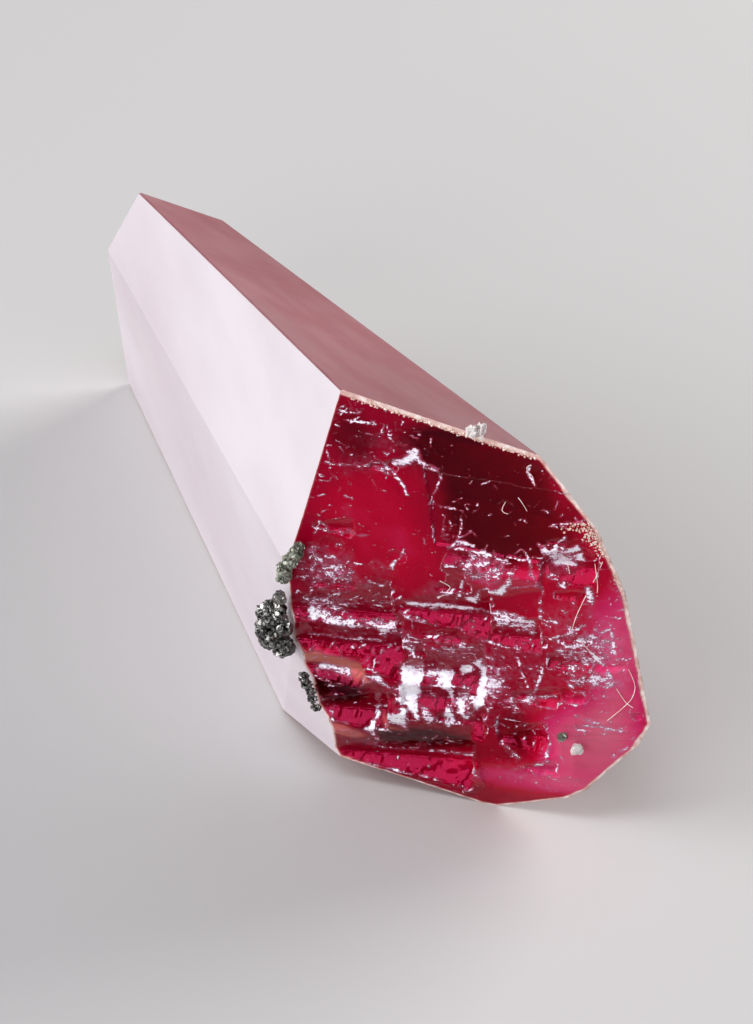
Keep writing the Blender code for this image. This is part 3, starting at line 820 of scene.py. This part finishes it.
def coat_material():
    """Pale rose satin skin of the long faces, with a painted sheen: faces turned to the left lamp are
    painted paler. Light passes through it into the red body.
    """
    material, tree, shader, output = new_material("pale_rose_coat")
    clouds = object_noise(tree, 150, 6, (1, 3.4, 1))
    lines = object_noise(tree, 900, 4, (1, 33, 1))
    base = colour_steps(tree, clouds, ((0.34, (0.28, 0.085, 0.10)), (0.66, (0.37, 0.125, 0.145))))
    # Faces turned to the left, towards the key lamp, get the pale colour as a painted sheen of that lamp;
    # the rest keep the rose
    facing = node(tree, "ShaderNodeSeparateXYZ")
    tree.links.new(node(tree, "ShaderNodeNewGeometry").outputs["Normal"], facing.inputs[0])
    painted_sheen_share = between(tree, facing.outputs["X"], -0.5, -0.95, 0, 1)
    pale = colour_steps(tree, clouds, ((0.32, (0.66, 0.60, 0.65)), (0.66, (0.77, 0.73, 0.77))))
    colour = blend_colours(tree, painted_sheen_share, base, pale)
    streaks = between(tree, lines, 0.42, 0.62)
    colour = blend_colours(tree, arithmetic(tree, "MULTIPLY", streaks, 0.07), colour, (0.92, 0.80, 0.80))
    tree.links.new(colour, shader.inputs["Base Color"])
    satin = between(tree, object_noise(tree, 700, 4), 0.3, 0.7, 0.42, 0.50)
    tree.links.new(satin, shader.inputs["Roughness"])
    shader.inputs["IOR"].default_value = 1.55
    bump(tree, shader, arithmetic(tree, "ADD", lines, object_noise(tree, 2600, 3)), 0.02 * MM, 0.35)
    through = node(tree, "ShaderNodeBsdfTranslucent")
    through.inputs["Color"].default_value = (0.95, 0.82, 0.84, 1)
    both = node(tree, "ShaderNodeMixShader")
    # Less light passes through the faces with the painted sheen, more through those turned to the right
    thin = between(tree, painted_sheen_share, 0, 1, 0.20, 0.12)
    thin = arithmetic(tree, "ADD", thin, between(tree, facing.outputs["X"], 0.45, 0.70, 0.0, 0.14))
    tree.links.new(thin, both.inputs["Fac"])
    tree.links.new(shader.outputs["BSDF"], both.inputs[1])
    tree.links.new(through.outputs["BSDF"], both.inputs[2])
    tree.links.new(both.outputs["Shader"], output.inputs["Surface"])
    fill_with_red(tree, output)
    return material


def sulfide_material(name, dark, light, metallic):
    """Dark metallic mineral with a slight tarnish."""
    material, tree, shader, _ = new_material(name)
    tarnish = object_noise(tree, 2400, 4)
    tree.links.new(colour_steps(tree, tarnish, ((0.35, dark), (0.68, light))), shader.inputs["Base Color"])
    polish = between(tree, object_noise(tree, 5000, 3), 0.3, 0.7, 0.10, 0.34)
    tree.links.new(polish, shader.inputs["Roughness"])
    shader.inputs["Metallic"].default_value = metallic
    bump(tree, shader, object_noise(tree, 9000, 3), 0.02 * MM, 0.5)
    return material


def quartz_material():
    material, tree, shader, output = new_material("clear_quartz")
    veil = object_noise(tree, 3000, 3)
    tree.links.new(between(tree, veil, 0.4, 0.7, 0.04, 0.22), shader.inputs["Roughness"])
    tree.links.new(colour_steps(tree, veil, ((0.4, (0.97, 0.92, 0.90)), (0.7, (0.93, 0.80, 0.78)))),
                   shader.inputs["Base Color"])
    shader.inputs["Transmission Weight"].default_value = 0.45
    shader.inputs["IOR"].default_value = 1.544
    bump(tree, shader, veil, 0.02 * MM, 0.3)
    return material


def crust_material():
    material, tree, shader, _ = new_material("cream_crust")
    grain = object_noise(tree, 4200, 4)
    tree.links.new(colour_steps(tree, grain, (
        (0.32, (0.50, 0.30, 0.24)), (0.52, (0.72, 0.54, 0.46)), (0.70, (0.90, 0.82, 0.76)),
    )), shader.inputs["Base Color"])
    tree.links.new(between(tree, grain, 0.3, 0.7, 0.6, 0.32), shader.inputs["Roughness"])
    bump(tree, shader, grain, 0.03 * MM, 0.5)
    return material


def lint_material():
    material, tree, shader, _ = new_material("pale_lint")
    tree.links.new(colour_steps(tree, object_noise(tree, 3000, 2), (
        (0.4, (0.78, 0.55, 0.50)), (0.6, (0.95, 0.88, 0.86)),
    )), shader.inputs["Base Color"])
    shader.inputs["Roughness"].default_value = 0.5
    return material


# Small pieces on the rim

def model_master(kind):
    """One mineral grain about 1 across, from which the copies are made."""
    deselect()
    if kind == "cube":
        bpy.ops.mesh.primitive_cube_add(size=1.3)
    elif kind == "tetrahedron":
        bpy.ops.mesh.primitive_cone_add(vertices=3, radius1=1.1, depth=1.5)
    elif kind == "cut_cube":
        bpy.ops.mesh.primitive_cube_add(size=1.4)
    else:
        bpy.ops.mesh.primitive_cylinder_add(vertices=6, radius=0.5, depth=1.4)
    master = bpy.context.object
    bpy.ops.object.mode_set(mode="EDIT")
    bpy.ops.mesh.select_mode(type="FACE")
    bpy.ops.mesh.select_all(action="SELECT")
    if kind == "point":
        bpy.ops.object.mode_set(mode="OBJECT")
        for face in master.data.polygons:
            face.select = face.normal.z > 0.5
        bpy.ops.object.mode_set(mode="EDIT")
    if kind == "cut_cube":
        bpy.ops.mesh.bevel(offset=0.5, affect="VERTICES")
    elif kind == "point":
        bpy.ops.mesh.poke(offset=0.45)
    else:
        bpy.ops.mesh.bevel(offset=0.13, segments=1)
    bpy.ops.object.mode_set(mode="OBJECT")
    return master


def copy_grain(master, place, size, turn, stretch=(1, 1, 1)):
    """A copy of a master grain, with its own mesh, in its place."""
    mesh = master.data.copy()
    shape = turn.to_4x4() @ Matrix.Diagonal((*stretch, 1)) @ Matrix.Scale(size, 4)
    mesh.transform(Matrix.Translation(place) @ shape)
    made = bpy.data.objects.new("grain", mesh)
    bpy.context.scene.collection.objects.link(made)
    return made


def join_grains(name, grains, material):
    """Puts the grains in one mesh."""
    deselect()
    for grain in grains:
        grain.select_set(True)
    bpy.context.view_layer.objects.active = grains[0]
    bpy.ops.object.join()
    made = bpy.context.object
    made.name = name
    made.data.materials.append(material)
    return made


def any_turn(rng):
    return Matrix.Rotation(rng.uniform(0, 6.28), 3, Vector(rng.normal(size=3)).normalized())


def grains_over(masters, node_name, count, sizes, seed):
    """Grains spread over the surface of a small node, a little inside it."""
    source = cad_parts[node_name]
    points = np.array([v.co for v in source.data.vertices])
    source.data.calc_loop_triangles()
    corners = np.array([t.vertices for t in source.data.loop_triangles])
    a, b, c = (points[corners[:, i]] for i in range(3))
    normals = np.cross(b - a, c - a)
    areas = np.linalg.norm(normals, axis=1)
    rng = np.random.default_rng(seed)
    low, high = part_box(node_name)
    grains = []
    for pick in rng.choice(len(areas), count, p=areas / areas.sum()):
        s, t = rng.random(2)
        if s + t > 1:
            s, t = 1 - s, 1 - t
        size = sizes[0] + (sizes[1] - sizes[0]) * rng.random() ** 2.2
        size *= MM
        place = a[pick] + s * (b[pick] - a[pick]) + t * (c[pick] - a[pick])
        place = place - normals[pick] / areas[pick] * size * 0.35
        place = np.clip(place, np.array(low) + size * 0.7, np.array(high) - size * 0.7)
        grains.append(copy_grain(masters[rng.integers(len(masters))], Vector(place), size, any_turn(rng)))
    return grains


def model_cluster(masters, material):
    name = "sulfide_cluster"
    grains = grains_over(masters, name, CLUSTER_GRAINS, CLUSTER_SIZES, 7)
    low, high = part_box(name)
    rng = np.random.default_rng(8)
    for share in np.linspace(0.2, 0.72, 9):
        place = low.lerp(high, 0.5) + Vector((0, 0, (share - 0.5) * (high.z - low.z)))
        grains.append(copy_grain(masters[0], place, 0.30 * MM, any_turn(rng)))
    return join_grains("dark_sulfide_cluster", grains, material)


def model_broken_grain(masters, name, node_name, seed, material):
    """A few crystals grown through each other inside their node's box."""
    low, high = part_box(node_name)
    rng = np.random.default_rng(seed)
    size = min(high - low) * 0.42
    grains = []
    for _ in range(BROKEN_CRYSTALS):
        place = Vector([rng.uniform(low[i] + size * 0.8, high[i] - size * 0.8) for i in range(3)])
        grains.append(copy_grain(masters[rng.integers(len(masters))], place, size, any_turn(rng)))
    return join_grains(name, grains, material)


def model_quartz_druse(master, material):
    """Small six-sided points that grow from the upper rim."""
    low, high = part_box("quartz_druse")
    middle = low.lerp(high, 0.5)
    rng = np.random.default_rng(12)
    points = []
    for _ in range(QUARTZ_POINTS):
        place = Vector([rng.uniform(low[i] + 0.22 * MM, high[i] - 0.22 * MM) for i in range(3)])
        place.z = rng.uniform(low.z + 0.15 * MM, middle.z)
        lean = Vector((rng.normal() * 0.5, rng.normal() * 0.5 - 0.35, 1)).normalized()
        length = min(QUARTZ_LONGEST, (high.z - place.z) * 0.45)
        turn = lean.to_track_quat("Z", "Y").to_matrix()
        points.append(copy_grain(master, place, length, turn, (0.62, 0.62, 1)))
    return join_grains("quartz_points", points, material)


# Runs of crust along the rim, in mm on the break: from, to, number of grains, spread
CRUST_RUNS = (
    ((5.2, 10.6), (6.1, 11.0), 40, 0.10), ((6.1, 10.9), (7.2, 9.5), 240, 0.19),
    ((7.1, 9.4), (7.7, 7.9), 40, 0.07), ((-3.4, 15.05), (4.0, 13.65), 150, 0.05),
    ((7.9, 7.2), (8.5, 4.4), 60, 0.06),
)


def rim_point(first_mm, second_mm, share, wander):
    across = first_mm[0] + (second_mm[0] - first_mm[0]) * share + wander[0]
    up = first_mm[1] + (second_mm[1] - first_mm[1]) * share + wander[1]
    height = break_height(np.array([[across]]), np.array([[up]]))[0, 0]
    return on_break(across, up, height)


def model_crust(masters, material):
    """Cream grains along the upper and right rim of the break."""
    rng = np.random.default_rng(31)
    grains = []
    planes = side_planes()
    for first, second, count, spread in CRUST_RUNS:
        for _ in range(count):
            place = rim_point(first, second, rng.random(), rng.normal(size=2) * spread)
            size = rng.uniform(*CRUST_SIZES) * MM
            room = min(-(place - point).dot(normal) for point, normal in planes)
            if room >= size:
                grains.append(copy_grain(masters[rng.integers(len(masters))], place, size, any_turn(rng)))
    return join_grains("cream_rim_crust", grains, material)


# Routes of the lint fibres, in the picture and in mm on the break
PICTURE_LINT = (
    ((600.7, 566), (594.3, 581.4), (584.5, 598.2), (574.7, 619.2), (572.6, 629)),
    ((591.5, 570.8), (595.7, 578.6), (597, 588.4), (596.4, 594.7)),
    ((625.4, 676.3), (632, 691), (630.8, 701.8), (625.4, 711), (605.4, 725)),
    ((504.5, 504), (500.3, 511), (502.4, 514.7), (507.3, 515.7)),
    ((517, 500), (522, 506), (526, 513)),
    ((529.8, 467.7), (524.9, 468.4), (526.3, 475.4), (531.9, 478), (534, 487)),
)
LINT = (
    ((7.5, 3.3), (7.8, 2.7), (8.0, 2.5), (8.15, 2.4)),
    ((5.15, 9.35), (5.35, 9.0), (5.5, 8.5)),
    ((0.2, 6.4), (0.75, 6.95), (0.63, 7.2), (0.3, 7.35)),
    ((6.0, 5.6), (6.3, 5.1), (6.7, 4.7)),
)
LINT_RADIUS = 0.015 * MM
LINT_HEIGHT = 0.07  # mm over the break


def model_lint(material):
    """Loose dust fibres that lie on the break."""
    data = bpy.data.curves.new("lint", "CURVE")
    data.dimensions = "3D"
    data.bevel_depth = LINT_RADIUS
    data.bevel_resolution = 1
    data.use_fill_caps = True
    data.resolution_u = 6
    for route in [*LINT, *([seen_at(*place) for place in route] for route in PICTURE_LINT)]:
        spline = data.splines.new("NURBS")
        spline.points.add(len(route) - 1)
        spline.order_u = 3
        spline.use_endpoint_u = True
        for number, (across, up) in enumerate(route):
            height = break_height(np.array([[across]]), np.array([[up]]))[0, 0]
            spline.points[number].co = (*on_break(across, up, height + LINT_HEIGHT), 1)
    made = bpy.data.objects.new("lint_fibres", data)
    bpy.context.scene.collection.objects.link(made)
    deselect()
    made.select_set(True)
    bpy.context.view_layer.objects.active = made
    bpy.ops.object.convert(target="MESH")
    made = bpy.context.object
    made.data.materials.append(material)
    for polygon in made.data.polygons:
        polygon.use_smooth = True
    return made


# Studio

def area_light(name, place, target, size, power, colour=(1, 1, 1)):
    data = bpy.data.lights.new(name, "AREA")
    data.shape = "RECTANGLE"
    data.size, data.size_y = size
    data.energy = power
    data.color = colour
    made = bpy.data.objects.new(name, data)
    made.location = place
    made.rotation_euler = (Vector(target) - Vector(place)).to_track_quat("-Z", "Y").to_euler()
    bpy.context.scene.collection.objects.link(made)


def build_studio():
    deselect()
    bpy.ops.mesh.primitive_plane_add(size=6, location=(0, 0, 0))
    floor = bpy.context.object
    floor.name = "floor"
    material, tree, shader, _ = new_material("pale_floor")
    shader.inputs["Base Color"].default_value = (0.56, 0.55, 0.545, 1)
    shader.inputs["Roughness"].default_value = 0.75
    floor.data.materials.append(material)
    world = bpy.data.worlds.new("studio")
    bpy.context.scene.world = world
    world.use_nodes = True
    world.node_tree.nodes["Background"].inputs["Color"].default_value = (0.9, 0.93, 1, 1)
    world.node_tree.nodes["Background"].inputs["Strength"].default_value = 0.15
    middle = (0, 0, 0.008)
    area_light("key_left", (-0.32, 0.03, 0.15), middle, (0.34, 0.24), 1.0, (1, 0.98, 1))
    area_light("front_top", (-0.14, -0.18, 0.34), (0, -0.02, 0.01), (0.18, 0.14), 0.55, (0.96, 0.98, 1))
    area_light("right_rim", (0.34, 0.16, 0.14), middle, (0.30, 0.22), 2.1, (1, 0.97, 0.96))
    area_light("front_left", (-0.22, -0.28, 0.11), (0, -0.02, 0.008), (0.16, 0.12), 0.55, (0.97, 0.98, 1))
    bpy.context.scene.view_settings.view_transform = "Standard"


def build_camera():
    data = bpy.data.cameras.new("camera")
    data.lens = LENS
    data.sensor_width = SENSOR
    data.clip_start, data.clip_end = 0.005, 20
    made = bpy.data.objects.new("camera", data)
    turn = Matrix(camera_frame()).transposed().to_4x4()
    made.matrix_world = Matrix.Translation(CAMERA_PLACE) @ turn
    bpy.context.scene.collection.objects.link(made)
    bpy.context.scene.camera = made


def place_piece(piece, slot, *nodes):
    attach(piece, "root")
    if nodes:
        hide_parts(*nodes)


build_camera()
build_studio()
crystal = model_crystal()
crystal.data.materials.append(break_material())
crystal.data.materials.append(coat_material())
place_piece(crystal, "rhodochrosite", "rhodochrosite_crystal")
dark = sulfide_material("dark_sulfide", (0.018, 0.017, 0.016), (0.38, 0.37, 0.35), 0.9)
green = sulfide_material("green_grey_crust", (0.07, 0.075, 0.055), (0.38, 0.39, 0.32), 0.35)
quartz = quartz_material()
kinds = ("cube", "cut_cube", "tetrahedron", "point")
cube, cut_cube, tetrahedron, point = (model_master(kind) for kind in kinds)
place_piece(model_cluster((cut_cube, tetrahedron), dark), "sulfide", "sulfide_cluster")
druse = grains_over((cube, cut_cube, tetrahedron), "sulfide_druse", DRUSE_GRAINS, DRUSE_SIZES, 9)
place_piece(join_grains("green_grey_druse", druse, green), "green_crust", "sulfide_druse")
specks = grains_over((cut_cube, tetrahedron), "sulfide_specks", SPECK_GRAINS, SPECK_SIZES, 10)
place_piece(join_grains("dark_specks", specks, dark), "sulfide", "sulfide_specks")
green_grain = model_broken_grain((cut_cube, cube), "green_crystal_grain", "green_grain", 14, green)
place_piece(green_grain, "green_crust", "green_grain")
white_grain = model_broken_grain((cut_cube, cube), "white_quartz_grain", "quartz_grain", 15, quartz)
place_piece(white_grain, "quartz", "quartz_grain")
place_piece(model_quartz_druse(point, quartz), "quartz", "quartz_druse")
place_piece(model_crust((cube, cut_cube, tetrahedron), crust_material()), "rhodochrosite")
for master in (cube, cut_cube, tetrahedron, point):
    bpy.data.objects.remove(master)
place_piece(model_lint(lint_material()), "rhodochrosite")
